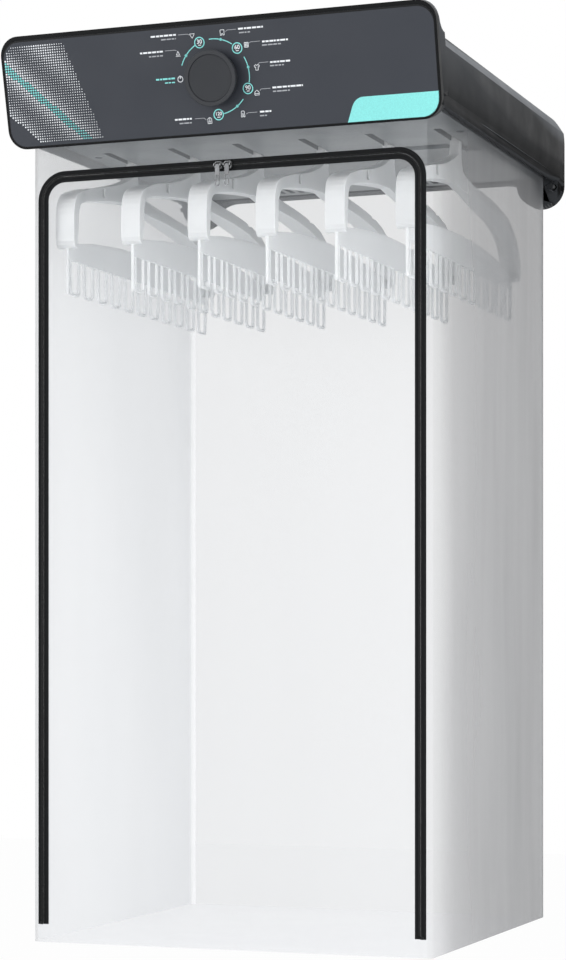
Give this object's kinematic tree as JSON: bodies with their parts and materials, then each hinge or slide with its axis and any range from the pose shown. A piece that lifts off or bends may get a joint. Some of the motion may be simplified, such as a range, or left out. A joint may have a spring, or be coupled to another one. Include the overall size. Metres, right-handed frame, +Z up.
{
  "type": "wall-mounted clothes dryer",
  "caption": "Wall-mounted clothes dryer: a dark heated-air head with a timer knob and tilted fascia over a zipped translucent cover with comb hangers.",
  "frame": {"origin": "centre of the wall bracket's back face, on the wall plane", "axes": "+X to the right as seen from the front, +Y back into the wall, +Z up"},
  "size_m": [0.56, 0.602, 1.1166],
  "materials": {
    "casing": "satin dark grey moulding",
    "frame_black": "near-black, semi-gloss",
    "panel": "printed slate panel",
    "knob": "charcoal, fine satin",
    "knob_rim": "lighter satin ring",
    "tray": "light grey moulding",
    "steel": "zinc plated",
    "wheel": "black glass-filled moulding",
    "ceramic": "off-white insulator",
    "film": "translucent white film",
    "hem": "soft grey bead",
    "zip": "black woven tape and coil",
    "zip_metal": "bright die-cast",
    "pull": "clear to silver moulding",
    "rubber": "black rubber",
    "hanger": "milky translucent moulding",
    "screw": "zinc plated"
  },
  "bodies": {
    "dryer": {"head_casing": "casing", "intake_grille": "casing", "rear_panel": "casing", "rear_screws": "screw", "wall_pads": "rubber", "lobe_screws": "screw", "wall_bracket": "steel", "fascia_frame": "frame_black", "fascia_panel": "panel", "timer_body": "ceramic", "tray": "tray", "tray_screws": "screw", "slot_rail": "steel", "rail_screws": "screw", "fan_housing": "steel", "fan_motor": "casing", "motor_screws": "screw", "heater_frame": "steel", "heater_rods": "steel", "thermostat": "steel", "thermal_fuse": "ceramic", "terminal_block": "ceramic", "cord_gland": "rubber", "cover_hem": "hem", "cover_front": "film", "cover_left": "film", "cover_right": "film", "cover_back": "film", "cover_floor": "film", "zip_tape_outer": "zip", "zip_teeth_outer": "zip", "zip_stops": "zip"},
    "timer_knob": {"knob": "knob", "knob_ring": "knob_rim", "timer_shaft": "steel"},
    "fan": {"fan_wheel": "wheel", "fan_shaft": "steel"},
    "flap": {"cover_flap": "film", "zip_tape_flap": "zip", "zip_teeth_flap": "zip"},
    "slider_left_body": {"slider_left": "zip_metal"},
    "slider_right_body": {"slider_right": "zip_metal"},
    "pull_left_body": {"pull_left": "pull"},
    "pull_right_body": {"pull_right": "pull"},
    "hanger_1_body": {"hanger_1": "hanger"},
    "hanger_2_body": {"hanger_2": "hanger"},
    "hanger_3_body": {"hanger_3": "hanger"},
    "hanger_4_body": {"hanger_4": "hanger"},
    "hanger_5_body": {"hanger_5": "hanger"},
    "hanger_6_body": {"hanger_6": "hanger"}
  },
  "joints": [
    {"name": "timer_turn", "type": "hinge", "parent": "dryer", "child": "timer_knob", "pos_m": [0, -0.57757, 0.01103], "axis": [0, 0.9732, 0.23], "range_deg": [0, 285]},
    {"name": "fan_spin", "type": "hinge", "parent": "dryer", "child": "fan", "pos_m": [0, -0.19, 0], "axis": [0, 0, 1], "continuous": true},
    {"name": "flap_open", "type": "hinge", "parent": "dryer", "child": "flap", "pos_m": [0, -0.5415, -1.0124], "axis": [1, 0, 0], "range_deg": [0, 170]},
    {"name": "slider_left_run", "type": "slide", "parent": "flap", "child": "slider_left_body", "axis": [-1, 0, 0], "range_m": [0, 0.2]},
    {"name": "pull_left_swing", "type": "hinge", "parent": "slider_left_body", "child": "pull_left_body", "pos_m": [-0.0096, -0.5472, -0.0866], "axis": [-1, 0, 0], "range_deg": [0, 150]},
    {"name": "slider_right_run", "type": "slide", "parent": "flap", "child": "slider_right_body", "axis": [1, 0, 0], "range_m": [0, 0.2]},
    {"name": "pull_right_swing", "type": "hinge", "parent": "slider_right_body", "child": "pull_right_body", "pos_m": [0.0026, -0.5472, -0.0866], "axis": [-1, 0, 0], "range_deg": [0, 150]},
    {"name": "hanger_1_slide", "type": "slide", "parent": "dryer", "child": "hanger_1_body", "axis": [0, -1, 0], "range_m": [0, 0.01]},
    {"name": "hanger_2_slide", "type": "slide", "parent": "dryer", "child": "hanger_2_body", "axis": [0, -1, 0], "range_m": [0, 0.01]},
    {"name": "hanger_3_slide", "type": "slide", "parent": "dryer", "child": "hanger_3_body", "axis": [0, -1, 0], "range_m": [0, 0.01]},
    {"name": "hanger_4_slide", "type": "slide", "parent": "dryer", "child": "hanger_4_body", "axis": [0, -1, 0], "range_m": [0, 0.01]},
    {"name": "hanger_5_slide", "type": "slide", "parent": "dryer", "child": "hanger_5_body", "axis": [0, -1, 0], "range_m": [0, 0.01]},
    {"name": "hanger_6_slide", "type": "slide", "parent": "dryer", "child": "hanger_6_body", "axis": [0, -1, 0], "range_m": [0, 0.01]}
  ]
}
